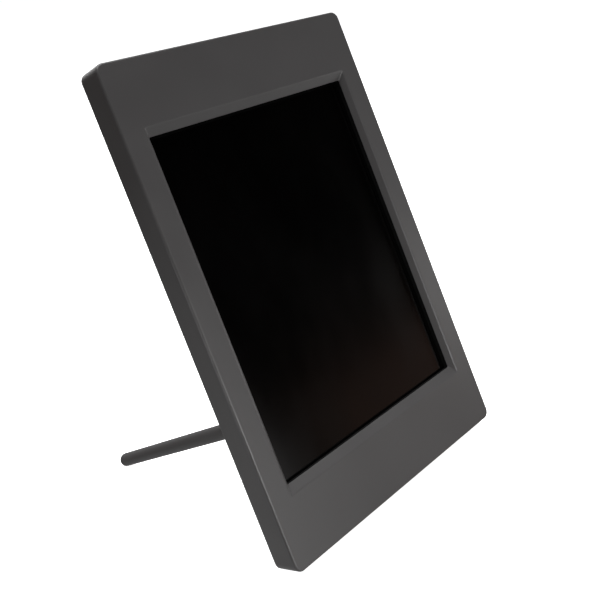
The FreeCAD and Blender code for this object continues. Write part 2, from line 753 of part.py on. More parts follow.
def hanger_box(side):
    """The closed box behind a keyhole."""
    u = side * HANGER_U
    half = HANGER_HEAD_R + HANGER_POCKET_MARGIN + HANGER_POCKET_WALL
    v = (HANGER_V - half, HANGER_V + HANGER_LIFT + half)
    n = (-COVER_FRONT - INTO, -HANGER_POCKET_FLOOR + HANGER_POCKET_WALL)
    return block((u - half, u + half), v, n)


def speaker_fence(side):
    """The low wall round a speaker that keeps it in place."""
    place = (side * SPEAKER_U, SPEAKER_V)
    inner = [h + SPEAKER_FENCE_GAP for h in SPEAKER_HALF]
    outer = [h + SPEAKER_FENCE_T for h in inner]
    inner_r = BASKET_CORNER_R + SPEAKER_FENCE_GAP
    n = (-COVER_FRONT - INTO, -SPEAKER_FENCE_FRONT)
    return slab(outer, n, inner_r + SPEAKER_FENCE_T, place).cut(slab(inner, n, inner_r, place))


def socket_boss():
    """The slanted, slightly conical boss that carries the stand's socket."""
    length = SOCKET_OUT + SOCKET_IN + SOCKET_FLOOR
    inner_end = on_rod(-SOCKET_IN - SOCKET_FLOOR)
    boss = Part.makeCone(SOCKET_BOSS_R[0], SOCKET_BOSS_R[1], length, inner_end, ROD_AXIS)
    rim = [e for e in boss.Edges if e.Curve.TypeId == "Part::GeomCircle"]
    rim = [e for e in rim if (e.Curve.Center - on_rod(SOCKET_OUT)).Length < NEAR]
    return boss.makeFillet(SOCKET_BOSS_EDGE_R, rim)


def rear_cover():
    """The flat back, let into the casing, with its bosses, posts, slots and keyholes."""
    half = [h - WALL - COVER_GAP for h in (HALF_W, HALF_H)]
    cover = slab(half, (-COVER_BACK, -COVER_FRONT), INNER_CORNER_R - COVER_GAP)
    pad_n = (-COVER_FRONT - INTO, -COVER_PAD_FRONT)
    added = [disc(p, COVER_PAD_R, pad_n) for p in CASE_SCREW_PLACES]
    added += [f(side) for side in (-1, 1) for f in (hanger_box, speaker_fence)]
    for place in KEY_POST_PLACES:
        added.append(disc(place, POST_SHOULDER_R, (-COVER_FRONT - INTO, -BOARD_BACK)))
        added.append(disc(place, POST_R, (-BOARD_BACK - INTO, -BOARD_FRONT)))
    added.append(socket_boss())
    cover = cover.multiFuse(added)
    hole = Part.makeCylinder(SLEEVE_R, SOCKET_OUT + SOCKET_IN, on_rod(-SOCKET_IN), ROD_AXIS)
    return cover.cut(cover_openings() + [hole])


def stand_socket():
    """The metal sleeve pressed into the boss, with the bore that the rod's spigot fits."""
    length = SOCKET_OUT + SOCKET_IN
    sleeve = Part.makeCylinder(SLEEVE_R, length, on_rod(-SOCKET_IN), ROD_AXIS)
    return sleeve.cut(Part.makeCylinder(SPIGOT_R + SPIGOT_GAP, length, on_rod(-SOCKET_IN), ROD_AXIS))


def stand_rod():
    """The tapering rod with a ball end, and the thinner spigot that plugs into the socket."""
    shoulder = on_rod(SOCKET_OUT + SPIGOT_GAP)
    length = (ROD_TIP - shoulder).Length
    rod = Part.makeCone(ROD_ROOT_R, ROD_TIP_R, length, shoulder, ROD_AXIS)
    spigot_length = SOCKET_OUT + SOCKET_IN - SPIGOT_END_GAP + SPIGOT_GAP
    spigot = Part.makeCylinder(SPIGOT_R, spigot_length, shoulder, ROD_AXIS * -1)
    rod = rod.multiFuse([spigot, Part.makeSphere(ROD_TIP_R, ROD_TIP)]).removeSplitter()
    return rod.cut(grip_ring())


def grip_ring():
    """The rubber ring in the spigot's groove."""
    centre = on_rod(SOCKET_OUT - GRIP_RING_AT)
    return Part.makeTorus(SPIGOT_R + SPIGOT_GAP / 2 - GRIP_RING_R, GRIP_RING_R, centre, ROD_AXIS)


def pieces():
    """Every node and its shape, in the slab's own axes."""
    made = {
        "front_housing": front_housing(),
        "rear_cover": rear_cover(),
        "casing_screws": casing_screws(),
        "window_gasket": window_gasket(),
        "display_glass": display_glass(),
        "display_light_guide": light_guide(),
        "display_backlight": backlight_strip(),
        "display_tray": display_tray(),
        "display_flex": display_flex(),
        "display_clips": retaining_clips(),
        "clip_screws": small_screws(CLIP_PLACES, CLIP_BOSS_BACK + CLIP_T),
        "main_board": main_board(),
        "board_screws": small_screws(BOARD_SCREW_PLACES, BOARD_BACK),
        "board_chips": board_chips(),
        "flex_connector": flex_connector(),
        "power_socket": dc_jack(),
        "power_socket_pin": dc_jack_pin(),
        "usb_socket": usb_port(),
        "card_socket": card_slot(),
        "key_board": key_board(),
        "key_switches": key_switches(),
        "key_ribbon": key_ribbon(),
        "ribbon_connectors": ribbon_connectors(),
        "power_switch": power_switch(),
        "power_slider": power_slider(),
        "stand_socket": stand_socket(),
        "stand_rod": stand_rod(),
        "stand_grip_ring": grip_ring(),
    }
    for i, name in enumerate(KEY_NAMES):
        made["key_" + name] = key(i)
    for side, name in ((-1, "left"), (1, "right")):
        made["foot_" + name] = foot_pad(side)
        made["speaker_basket_" + name] = speaker_basket(side)
        made["speaker_cone_" + name] = speaker_cone(side)
        made["speaker_magnet_" + name] = speaker_magnet(side)
        made["speaker_lead_" + name] = speaker_lead(side)
    return made


def main():
    os.makedirs("parts", exist_ok=True)
    for name, shape in pieces().items():
        placed(shape).exportStep(os.path.join("parts", name + ".step"))


if __name__ == "__main__":
    main()
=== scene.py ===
import json
import math

import bmesh
import bpy
from mathutils import Matrix, Vector


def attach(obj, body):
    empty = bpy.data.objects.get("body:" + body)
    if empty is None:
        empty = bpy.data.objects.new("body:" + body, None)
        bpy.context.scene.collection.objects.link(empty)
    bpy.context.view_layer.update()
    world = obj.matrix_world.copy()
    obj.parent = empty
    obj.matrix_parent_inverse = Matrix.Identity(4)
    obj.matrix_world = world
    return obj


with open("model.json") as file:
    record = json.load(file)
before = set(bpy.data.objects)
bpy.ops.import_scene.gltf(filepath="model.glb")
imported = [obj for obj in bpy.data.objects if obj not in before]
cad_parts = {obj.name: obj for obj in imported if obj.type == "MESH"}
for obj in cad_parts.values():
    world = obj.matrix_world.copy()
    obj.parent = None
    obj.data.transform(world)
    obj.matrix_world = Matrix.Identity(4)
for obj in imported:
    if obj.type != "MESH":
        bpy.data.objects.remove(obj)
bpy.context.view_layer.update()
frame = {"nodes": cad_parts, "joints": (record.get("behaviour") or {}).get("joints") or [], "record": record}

MM = 0.001
MICRON = 0.000001
NOISE_MIDDLE = (0.3, 0.7)
CAD_SMOOTH_DEG = 32
PIECE_SMOOTH_DEG = 35

# ---------------------------------------------------------------- the slab's own axes
# U runs to the viewer's right, V up the slab and N out of its front face. They come from the
# directions in which the power slider and the keys travel.
joint_axis = {j["name"]: Vector(j["axis"]).normalized() for j in frame["joints"]}
U = Vector((1, 0, 0))
V = joint_axis["power_slider_travel"]
N = joint_axis["key_menu_press"]
LEAN = math.asin(V.y)


def span(node, axis):
    """Lowest and highest reach of a CAD node along a direction."""
    reach = [axis.dot(v.co) for v in frame["nodes"][node].data.vertices]
    return min(reach), max(reach)


front_n = span("front_housing", N)[1]
middle_v = sum(span("front_housing", V)) / 2
HALF_W = span("front_housing", U)[1]
HALF_H = span("front_housing", V)[1] - middle_v
SLAB_ORIGIN = V * middle_v + N * front_n


def local(node):
    """A CAD node's middle and half size along the slab's axes, in millimetres."""
    middle, half = [], []
    for axis in (U, V, N):
        low, high = span(node, axis)
        middle.append(((low + high) / 2 - axis.dot(SLAB_ORIGIN)) / MM)
        half.append((high - low) / 2 / MM)
    return middle, half


# ---------------------------------------------------------------- node helpers
class Shader:
    """A material under construction: short names for the nodes that this script uses."""

    def __init__(self, name):
        self.material = bpy.data.materials.new(name)
        self.material.use_nodes = True
        self.tree = self.material.node_tree
        self.bsdf = self.tree.nodes["Principled BSDF"]
        self.place = self.tree.nodes.new("ShaderNodeTexCoord").outputs["Object"]

    def new(self, kind, **settings):
        node = self.tree.nodes.new("ShaderNode" + kind)
        for key, value in settings.items():
            setattr(node, key, value)
        return node

    def link(self, source, target):
        self.tree.links.new(source, target)

    def slab_place(self):
        """Coordinates turned so that X, Y, Z follow U, V, N."""
        turn = self.new("VectorRotate", rotation_type="X_AXIS")
        turn.inputs["Angle"].default_value = -(math.pi / 2 - LEAN)
        shift = self.new("VectorMath", operation="SUBTRACT")
        shift.inputs[1].default_value = SLAB_ORIGIN
        self.link(self.place, shift.inputs[0])
        self.link(shift.outputs[0], turn.inputs["Vector"])
        return turn.outputs["Vector"]

    def noise(self, scale, detail=2.0, roughness=0.5, source=None, stretch=None):
        node = self.new("TexNoise")
        node.inputs["Scale"].default_value = scale
        node.inputs["Detail"].default_value = detail
        node.inputs["Roughness"].default_value = roughness
        source = source or self.place
        if stretch:
            scaled = self.new("VectorMath", operation="MULTIPLY")
            scaled.inputs[1].default_value = stretch
            self.link(source, scaled.inputs[0])
            source = scaled.outputs[0]
        self.link(source, node.inputs["Vector"])
        return node.outputs["Fac"]

    def voronoi(self, scale, source=None):
        node = self.new("TexVoronoi")
        node.inputs["Scale"].default_value = scale
        self.link(source or self.place, node.inputs["Vector"])
        return node.outputs["Distance"]

    def wave(self, scale, direction, source):
        node = self.new("TexWave", bands_direction=direction)
        node.inputs["Scale"].default_value = scale
        self.link(source, node.inputs["Vector"])
        return node.outputs["Fac"]

    def math(self, operation, a, b=None):
        node = self.new("Math", operation=operation)
        for socket, value in zip(node.inputs, (a, b)):
            if isinstance(value, (int, float)):
                socket.default_value = value
            elif value is not None:
                self.link(value, socket)
        return node.outputs[0]

    def between(self, fac, low, high, out_low=0.0, out_high=1.0):
        """Takes a value from low..high to out_low..out_high with a smooth step."""
        node = self.new("MapRange", interpolation_type="SMOOTHSTEP")
        node.inputs["From Min"].default_value = low
        node.inputs["From Max"].default_value = high
        node.inputs["To Min"].default_value = out_low
        node.inputs["To Max"].default_value = out_high
        self.link(fac, node.inputs["Value"])
        return node.outputs["Result"]

    def swing(self, noise, out_low=0.0, out_high=1.0):
        """Spreads the middle of a noise, where most of it lies, over out_low..out_high."""
        return self.between(noise, *NOISE_MIDDLE, out_low, out_high)

    def mix(self, fac, a, b):
        node = self.new("Mix", data_type="RGBA")
        self.link(fac, node.inputs["Factor"])
        for socket, value in ((node.inputs[6], a), (node.inputs[7], b)):
            if isinstance(value, tuple):
                socket.default_value = (*value, 1.0)
            else:
                self.link(value, socket)
        return node.outputs[2]

    def colour(self, value):
        self.link(value, self.bsdf.inputs["Base Color"])

    def roughness(self, value):
        self.link(value, self.bsdf.inputs["Roughness"])

    def bump(self, *layers):
        """Layers are (height, strength, depth in metres), finest last."""
        normal = None
        for height, strength, depth in layers:
            node = self.new("Bump")
            node.inputs["Strength"].default_value = strength
            node.inputs["Distance"].default_value = depth
            self.link(height, node.inputs["Height"])
            if normal is not None:
                self.link(normal, node.inputs["Normal"])
            normal = node.outputs["Normal"]
        self.link(normal, self.bsdf.inputs["Normal"])

    def set(self, **values):
        for name, value in values.items():
            self.bsdf.inputs[name.replace("_", " ")].default_value = value
        return self


# ---------------------------------------------------------------- materials
CHARCOAL_TINT = (1.0, 0.96, 0.97)


def charcoal(grey):
    """The casing's slightly warm grey at a given lightness."""
    return tuple(grey * t for t in CHARCOAL_TINT)


def moulded_plastic(name, grey, rough, grain, edge_highlight_and_wear=False):
    """Spark-textured moulding: two sizes of grain, faint flow marks and cloudy gloss."""
    s = Shader(name)
    flow = s.noise(9.0, 3.0, 0.6, stretch=(1.0, 1.0, 0.35))
    cloud = s.noise(38.0, 4.0, 0.55)
    fine = s.noise(3400.0, 2.0, 0.6)
    pits = s.voronoi(1500.0)
    base = s.mix(s.swing(flow), charcoal(grey * 0.95), charcoal(grey * 1.05))
    speck = s.between(fine, 0.62, 0.8)
    body = s.mix(s.math("MULTIPLY", speck, 0.35), base, charcoal(grey * 1.5))
    gloss = s.math("ADD", s.swing(cloud, rough - 0.03, rough + 0.03), s.swing(fine, -0.03, 0.03))
    # Optional painted highlight: the outer edges are painted a lighter colour, and are also made glossier as
    # rubbed wear.
    if edge_highlight_and_wear:
        edge = edge_highlight_and_wear_mask(s)
        body = s.mix(s.math("MULTIPLY", edge, 0.5), body, charcoal(grey * 1.25))
        gloss = s.math("SUBTRACT", gloss, s.math("MULTIPLY", edge, 0.09))
    s.colour(body)
    s.roughness(gloss)
    s.bump((cloud, 0.05, 200 * MICRON), (pits, grain * 0.6, 30 * MICRON), (fine, grain, 30 * MICRON))
    return s.set(IOR=1.5, Specular_IOR_Level=0.5).material


# how far from the slab's rim the rubbed gloss and the painted edge highlight start to fade and where they
# end, in metres
EDGE_HIGHLIGHT_AND_WEAR_REACH = (0.3 * MM, 1.4 * MM)


def edge_highlight_and_wear_mask(s):
    """1 on the slab's outer edges, fading inwards, broken up by noise: a painted highlight where it lightens
    the colour, and rubbed gloss where it lowers the roughness.
    """
    place = s.new("SeparateXYZ")
    s.link(s.slab_place(), place.inputs[0])
    from_side = s.math("SUBTRACT", HALF_W, s.math("ABSOLUTE", place.outputs[0]))
    from_end = s.math("SUBTRACT", HALF_H, s.math("ABSOLUTE", place.outputs[1]))
    from_front = s.math("ABSOLUTE", place.outputs[2])
    near_rim = s.math("MINIMUM", from_side, from_end)
    reach = s.math("MAXIMUM", near_rim, from_front)
    # fade of the painted edge highlight and the rubbed gloss from the rim inwards
    highlight_and_wear_fade = s.between(reach, *EDGE_HIGHLIGHT_AND_WEAR_REACH, 1.0, 0.0)
    return s.math("MULTIPLY", highlight_and_wear_fade, s.between(s.noise(120.0, 5.0, 0.65), 0.35, 0.65, 0.25, 1.0))


def display_black(name, border):
    """The display's face: printed black in the border, and a warm near-black picture area."""
    s = Shader(name)
    place = s.slab_place()
    smudge = s.noise(30.0, 5.0, 0.6, source=place, stretch=(1.0, 0.5, 1.0))
    haze = s.noise(5200.0, 1.0, 0.5, source=place)
    if border:
        speck = s.noise(1900.0, 2.0, 0.6, source=place)
        s.colour(s.mix(s.swing(speck), (0.0002, 0.0002, 0.0002), (0.0006, 0.0006, 0.0006)))
        s.roughness(s.swing(smudge, 0.34, 0.42))
    else:
        cells = s.wave(1400.0, "X", source=place)
        s.colour(s.mix(s.between(cells, 0.2, 0.8), (0.0001, 0.0001, 0.0001), (0.0003, 0.0002, 0.0002)))
        s.roughness(s.swing(smudge, 0.15, 0.21))
    s.bump((haze, 0.04, 10 * MICRON))
    return s.set(IOR=1.45, Specular_IOR_Level=0.08 if border else 0.28).material


def foam(name):
    s = Shader(name)
    cells = s.voronoi(2600.0)
    s.colour(s.mix(s.between(cells, 0.1, 0.6), (0.0015, 0.0015, 0.0015), (0.006, 0.006, 0.006)))
    s.roughness(s.between(cells, 0.0, 0.7, 0.92, 1.0))
    s.bump((cells, 0.5, 80 * MICRON))
    return s.set(Specular_IOR_Level=0.1).material


def rubber(name):
    s = Shader(name)
    fine = s.noise(2600.0, 3.0, 0.6)
    dust = s.noise(90.0, 5.0, 0.7)
    s.colour(s.mix(s.between(dust, 0.5, 0.75), (0.012, 0.012, 0.012), (0.03, 0.029, 0.028)))
    s.roughness(s.swing(dust, 0.7, 0.86))
    s.bump((fine, 0.3, 50 * MICRON))
    return s.set(Specular_IOR_Level=0.3).material


def plated_metal(name, colour, rough, brush=True):
    """Stamped or turned metal with fine drawing lines and slight tarnish."""
    s = Shader(name)
    stretch = (1.0, 30.0, 30.0) if brush else (1.0, 1.0, 1.0)
    lines = s.noise(160.0, 3.0, 0.6, stretch=stretch)
    tarnish = s.noise(120.0, 4.0, 0.6)
    s.colour(s.mix(s.between(tarnish, 0.35, 0.75), colour, tuple(c * 0.78 for c in colour)))
    streaks = s.swing(lines, rough, rough + 0.12)
    s.roughness(s.math("ADD", streaks, s.between(tarnish, 0.4, 0.8, 0.0, 0.08)))
    s.bump((lines, 0.12, 20 * MICRON))
    return s.set(Metallic=1.0).material


def painted_rod(name, grey):
    """Satin lacquer over a turned rod: orange peel, fine grain and rubbed patches."""
    s = Shader(name)
    orange_peel = s.noise(900.0, 2.0, 0.5)
    fine = s.noise(4200.0, 2.0, 0.6)
    rub = s.noise(60.0, 5.0, 0.65)
    s.colour(s.mix(s.between(rub, 0.3, 0.75), charcoal(grey * 0.94), charcoal(grey * 1.08)))
    s.roughness(s.swing(rub, 0.5, 0.6))
    s.bump((orange_peel, 0.12, 30 * MICRON), (fine, 0.12, 20 * MICRON))
    return s.set(IOR=1.5).material


def circuit_board(name):
    """Green solder mask with raised copper tracks and plated holes."""
    s = Shader(name)
    place = s.slab_place()
    brick = s.new("TexBrick")
    brick.inputs["Scale"].default_value = 260.0
    brick.inputs["Mortar Size"].default_value = 0.035
    brick.inputs["Mortar Smooth"].default_value = 0.1
    s.link(place, brick.inputs["Vector"])
    tracks = brick.outputs["Fac"]
    holes = s.between(s.voronoi(420.0, source=place), 0.10, 0.14, 1.0, 0.0)
    cloud = s.noise(60.0, 4.0, 0.6)
    mask = s.mix(s.swing(cloud), (0.006, 0.07, 0.025), (0.008, 0.095, 0.035))
    tracked = s.mix(tracks, mask, (0.02, 0.17, 0.06))
    s.colour(s.mix(holes, tracked, (0.55, 0.52, 0.42)))
    s.roughness(s.swing(cloud, 0.28, 0.4))
    s.bump((tracks, 0.4, 40 * MICRON), (s.noise(1800.0), 0.05, 30 * MICRON))
    return s.material


def moulded_chip(name, grey=0.018):
    s = Shader(name)
    fine = s.noise(5200.0, 2.0, 0.7)
    cloud = s.noise(300.0, 3.0, 0.6)
    s.colour(s.mix(s.swing(cloud), (grey * 0.85,) * 3, (grey * 1.2,) * 3))
    s.roughness(s.swing(fine, 0.5, 0.68))
    s.bump((fine, 0.35, 30 * MICRON))
    return s.material


def pale_plastic(name, colour):
    s = Shader(name)
    cloud = s.noise(220.0, 4.0, 0.6)
    fine = s.noise(3200.0, 2.0, 0.6)
    s.colour(s.mix(s.swing(cloud), colour, tuple(c * 0.88 for c in colour)))
    s.roughness(s.swing(cloud, 0.38, 0.5))
    s.bump((fine, 0.15, 20 * MICRON))
    return s.material


def acrylic(name):
    """The light guide: clear, with the fine dot print that lets the light out."""
    s = Shader(name)
    dots = s.between(s.voronoi(900.0, source=s.slab_place()), 0.18, 0.24, 1.0, 0.0)
    s.colour(s.mix(dots, (0.82, 0.86, 0.88), (0.97, 0.97, 0.97)))
    s.roughness(s.between(dots, 0.0, 1.0, 0.08, 0.5))
    s.bump((dots, 0.2, 20 * MICRON))
    return s.set(Transmission_Weight=0.6, IOR=1.49).material


def film(name, colour):
    """Flat cable: amber film over fine parallel conductors."""
    s = Shader(name)
    lines = s.wave(320.0, "X", source=s.slab_place())
    s.colour(s.mix(s.between(lines, 0.35, 0.65), colour, (0.42, 0.2, 0.06)))
    s.roughness(s.between(lines, 0.0, 1.0, 0.22, 0.34))
    s.bump((lines, 0.3, 40 * MICRON))
    return s.material


def pressed_paper(name):
    s = Shader(name)
    fibre = s.noise(700.0, 6.0, 0.75)
    s.colour(s.mix(s.swing(fibre), (0.016, 0.016, 0.016), (0.05, 0.049, 0.047)))
    s.roughness(s.swing(fibre, 0.75, 0.95))
    s.bump((fibre, 0.5, 100 * MICRON))
    return s.material


def woven_mesh(name):
    """Black dust cloth: a plain weave whose threads pass over and under each other."""
    s = Shader(name)
    place = s.slab_place()
    across = s.wave(620.0, "X", source=place)
    along = s.wave(620.0, "Y", source=place)
    threads = s.math("MAXIMUM", across, along)
    gaps = s.math("MULTIPLY", across, along)
    s.colour(s.mix(s.between(threads, 0.3, 0.9), (0.002, 0.002, 0.002), (0.02, 0.02, 0.021)))
    s.roughness(s.between(gaps, 0.0, 1.0, 0.6, 0.85))
    s.bump((threads, 0.8, 100 * MICRON))
    return s.material


def foil_plate(name):
    """Blank satin rating plate."""
    s = Shader(name)
    brushed = s.noise(150.0, 3.0, 0.6, source=s.slab_place(), stretch=(1.0, 40.0, 1.0))
    s.colour(s.mix(s.swing(brushed), (0.20, 0.20, 0.205), (0.25, 0.25, 0.255)))
    s.roughness(s.swing(brushed, 0.32, 0.42))
    s.bump((brushed, 0.08, 20 * MICRON))
    return s.set(Metallic=0.9).material


def floor_paper(name, glow):
    """Plain white paper that gives off its own light, so that it stays white far away."""
    s = Shader(name)
    tooth = s.noise(900.0, 3.0, 0.6)
    s.colour(s.mix(s.swing(tooth), (0.90, 0.90, 0.90), (0.93, 0.93, 0.93)))
    s.roughness(s.swing(tooth, 0.85, 0.95))
    s.set(Specular_IOR_Level=0.1, Emission_Color=(1, 1, 1, 1), Emission_Strength=glow)
    return s.material


GREY = 0.05
MATERIALS = {
    # the casing's outer edges get a painted highlight as well as glossier rubbed wear
    "casing_plastic": moulded_plastic("charcoal_moulding", GREY, 0.44, 0.16, edge_highlight_and_wear=True),
    "cover_plastic": moulded_plastic("charcoal_back", GREY * 0.8, 0.55, 0.45),
    "black_screw": plated_metal("black_oxide", (0.05, 0.05, 0.052), 0.35, brush=False),
    "black_foam": foam("black_foam_cells"),
    "display_face": display_black("display_border", border=True),
    "light_guide": acrylic("clear_acrylic"),
    "lamp_strip": pale_plastic("lamp_white", (0.85, 0.82, 0.6)),
    "bare_steel": plated_metal("zinc_plate", (0.58, 0.58, 0.57), 0.3),
    "flex_film": film("amber_film", (0.5, 0.26, 0.08)),
    "board_green": circuit_board("solder_mask"),
    "chip_black": moulded_chip("chip_epoxy"),
    "connector_ivory": pale_plastic("ivory_nylon", (0.68, 0.63, 0.5)),
    "socket_black": moulded_chip("socket_nylon", 0.014),
    "contact_metal": plated_metal("nickel_plate", (0.62, 0.6, 0.56), 0.22),
    "key_plastic": moulded_plastic("key_moulding", GREY * 1.25, 0.4, 0.12),
    "rod_finish": painted_rod("rod_lacquer", GREY),
    "black_rubber": rubber("foot_rubber"),
    "speaker_paper": pressed_paper("cone_paper"),
    "lead_cover": pale_plastic("lead_insulation", (0.32, 0.03, 0.025)),
}
picture_finish = display_black("display_picture", border=False)


def dress_cad_nodes():
    """Gives every CAD node its slot's material and smooth shading on its curved faces."""
    smooth_below = math.radians(CAD_SMOOTH_DEG)
    for part in frame["record"]["subparts"]:
        mesh = frame["nodes"][part["node"]].data
        mesh.materials.clear()
        mesh.materials.append(MATERIALS[part["material_slot"]])
        mesh.shade_smooth()
        mesh.set_sharp_from_angle(angle=smooth_below)


# ---------------------------------------------------------------- mesh helpers
def new_piece(name, bm, material, body):
    """Turns a bmesh, built in millimetres along U, V, N, into a piece that rides on a body."""
    turn = Matrix((U, V, N)).transposed().to_4x4()
    bmesh.ops.scale(bm, vec=(MM, MM, MM), verts=bm.verts)
    bm.transform(Matrix.Translation(SLAB_ORIGIN) @ turn)
    bmesh.ops.recalc_face_normals(bm, faces=bm.faces)
    mesh = bpy.data.meshes.new(name)
    bm.to_mesh(mesh)
    bm.free()
    mesh.shade_smooth()
    mesh.set_sharp_from_angle(angle=math.radians(PIECE_SMOOTH_DEG))
    mesh.materials.append(material)
    piece = bpy.data.objects.new(name, mesh)
    bpy.context.scene.collection.objects.link(piece)
    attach(piece, body)
    return piece


def outline_pill(half_u, half_v, radius, steps=8):
    """Corner points of a rounded rectangle, anticlockwise."""
    points = []
    for cx, cy, start in ((1, 1, 0), (-1, 1, 90), (-1, -1, 180), (1, -1, 270)):
        for i in range(steps + 1):
            angle = math.radians(start + 90 * i / steps)
            u = cx * (half_u - radius) + radius * math.cos(angle)
            v = cy * (half_v - radius) + radius * math.sin(angle)
            points.append((u, v))
    return points


def plate(bm, points, centre, n_low, n_high, chamfer=0.0):
    """A flat plate from an outline, with an optional chamfer on the side at n_high."""
    step = math.copysign(chamfer, n_high - n_low)
    levels = [(n_low, 1.0), (n_high - step, 1.0)]
    reach = max(math.hypot(*p) for p in points)
    if chamfer:
        levels.append((n_high, 1.0 - chamfer / reach))
    rings = []
    for n, grow in levels:
        rings.append([bm.verts.new((centre[0] + u * grow, centre[1] + v * grow, n)) for u, v in points])
    for low, high in zip(rings, rings[1:]):
        for i in range(len(points)):
            j = (i + 1) % len(points)
            bm.faces.new((low[i], low[j], high[j], high[i]))
    bm.faces.new(rings[0][::-1])
    bm.faces.new(rings[-1])


# ---------------------------------------------------------------- pieces, in millimetres
PICTURE_HALF = (59.2, 79.8)
PICTURE_CORNER_R = 0.4
FILM_T = 0.02
SIGN_PROUD = 0.08
SIGN_BAR_HALF = (1.4, 0.16)
SIGN_BAR_PITCH = 0.8
SIGN_HEIGHT = 1.15
SIGN_WIDTH = 1.3
SIGN_DOT_R = 0.95
CLOTH_INSET = 1.4
CLOTH_CORNER_R = 3.0
CLOTH_LEVELS = (0.25, 0.05)
CARD_CONTACTS = 9
CARD_CONTACT_PITCH = 2.5
CARD_CONTACT_HALF = (9.0, 0.5)
CARD_CONTACT_IN = 14.0
CARD_CONTACT_LEVELS = (1.1, 0.85)
USB_CONTACTS = 5
USB_CONTACT_PITCH = 0.8
USB_CONTACT_HALF = (2.6, 0.2)
USB_CONTACT_IN = 4.6
USB_CONTACT_LEVELS = (-0.45, -0.6)
COVER_FACE = -14.4
RATING_PLATE_HALF = (24.0, 12.0)
RATING_PLATE_PLACE = (10.0, -20.0)
RATING_PLATE_CORNER_R = 1.5
RATING_PLATE_LEVELS = (COVER_FACE + 0.02, COVER_FACE - 0.08)
RATING_PLATE_CHAMFER = 0.04


def picture_area():
    """The polarising film over the picture, a hair proud of the glass's black border."""
    middle, half = local("display_glass")
    front = middle[2] + half[2]
    bm = bmesh.new()
    plate(bm, outline_pill(*PICTURE_HALF, PICTURE_CORNER_R), (0.0, 0.0), front, front + FILM_T)
    new_piece("picture_film", bm, picture_finish, "frame")


def key_sign(shape):
    """Outlines of the raised sign on a key."""
    wide, tall = SIGN_WIDTH, SIGN_HEIGHT
    if shape == "up":
        return [[(-wide, -tall * 0.6), (wide, -tall * 0.6), (0.0, tall * 0.8)]]
    if shape == "down":
        return [[(-wide, tall * 0.6), (0.0, -tall * 0.8), (wide, tall * 0.6)]]
    if shape == "play":
        return [[(tall * 0.6, -wide), (tall * 0.6, wide), (-tall * 0.9, 0.0)]]
    if shape == "menu":
        u, v = SIGN_BAR_HALF
        rows = [row * SIGN_BAR_PITCH for row in (-1, 0, 1)]
        return [[(-u, row - v), (u, row - v), (u, row + v), (-u, row + v)] for row in rows]
    if shape == "back":
        return [[(-0.3, -1.0), (0.1, -1.0), (1.1, 0.0), (0.1, 1.0), (-0.3, 1.0), (0.7, 0.0)]]
    return [outline_pill(SIGN_DOT_R, SIGN_DOT_R, SIGN_DOT_R - 0.01, 6)]


def key_signs():
    """A small raised sign on each key."""
    finish = pale_plastic("key_sign_print", (0.42, 0.42, 0.42))
    for name in ("menu", "up", "down", "back", "play", "enter"):
        node = "key_" + name
        middle, half = local(node)
        face = middle[2] - half[2]
        bm = bmesh.new()
        for outline in key_sign(name):
            plate(bm, outline, middle[:2], face + SIGN_PROUD, face - SIGN_PROUD)
        new_piece("sign_" + name, bm, finish, node)


def dust_cloths():
    """Woven cloth behind the speaker slots."""
    finish = woven_mesh("dust_cloth")
    for side in ("left", "right"):
        middle, half = local("speaker_basket_" + side)
        back = middle[2] - half[2]
        outline = outline_pill(half[0] - CLOTH_INSET, half[1] - CLOTH_INSET, CLOTH_CORNER_R)
        bm = bmesh.new()
        plate(bm, outline, middle[:2], back + CLOTH_LEVELS[0], back + CLOTH_LEVELS[1])
        new_piece("speaker_cloth_" + side, bm, finish, "frame")


def contact_row(bm, socket, count, pitch, finger, set_in, levels):
    """Fingers in a row inside a socket's mouth, from its outer end and its middle plane."""
    middle, half = local(socket)
    u = middle[0] + half[0] - set_in
    for i in range(count):
        v = middle[1] + (i - (count - 1) / 2) * pitch
        plate(bm, finger, (u, v), middle[2] + levels[0], middle[2] + levels[1])


def card_contacts():
    """The row of gilt fingers inside the card socket's mouth."""
    finish = plated_metal("gilt", (0.75, 0.55, 0.22), 0.25)
    finger = outline_pill(*CARD_CONTACT_HALF, 0.2, 3)
    bm = bmesh.new()
    contact_row(bm, "card_socket", CARD_CONTACTS, CARD_CONTACT_PITCH, finger,
                CARD_CONTACT_IN, CARD_CONTACT_LEVELS)
    new_piece("card_contacts", bm, finish, "frame")


def usb_contacts():
    """The contact fingers on the USB socket's tongue."""
    finger = outline_pill(*USB_CONTACT_HALF, 0.1, 2)
    bm = bmesh.new()
    contact_row(bm, "usb_socket", USB_CONTACTS, USB_CONTACT_PITCH, finger,
                USB_CONTACT_IN, USB_CONTACT_LEVELS)
    new_piece("usb_contacts", bm, MATERIALS["contact_metal"], "frame")


def rating_plate():
    """A blank foil plate on the back cover."""
    outline = outline_pill(*RATING_PLATE_HALF, RATING_PLATE_CORNER_R)
    bm = bmesh.new()
    plate(bm, outline, RATING_PLATE_PLACE, *RATING_PLATE_LEVELS, chamfer=RATING_PLATE_CHAMFER)
    new_piece("rating_plate", bm, foil_plate("rating_foil"), "frame")


# ---------------------------------------------------------------- stage, lights and camera
CAMERA_PLACE = (-0.26443, -0.28815, 0.26752)
CAMERA_BEARING_DEG = 44.204
CAMERA_DOWN_DEG = 20.008
CAMERA_ROLL_DEG = -6.109
CAMERA_LENS = 50.85
CAMERA_SHIFT_Y = -0.12
SENSOR_WIDTH = 36.0


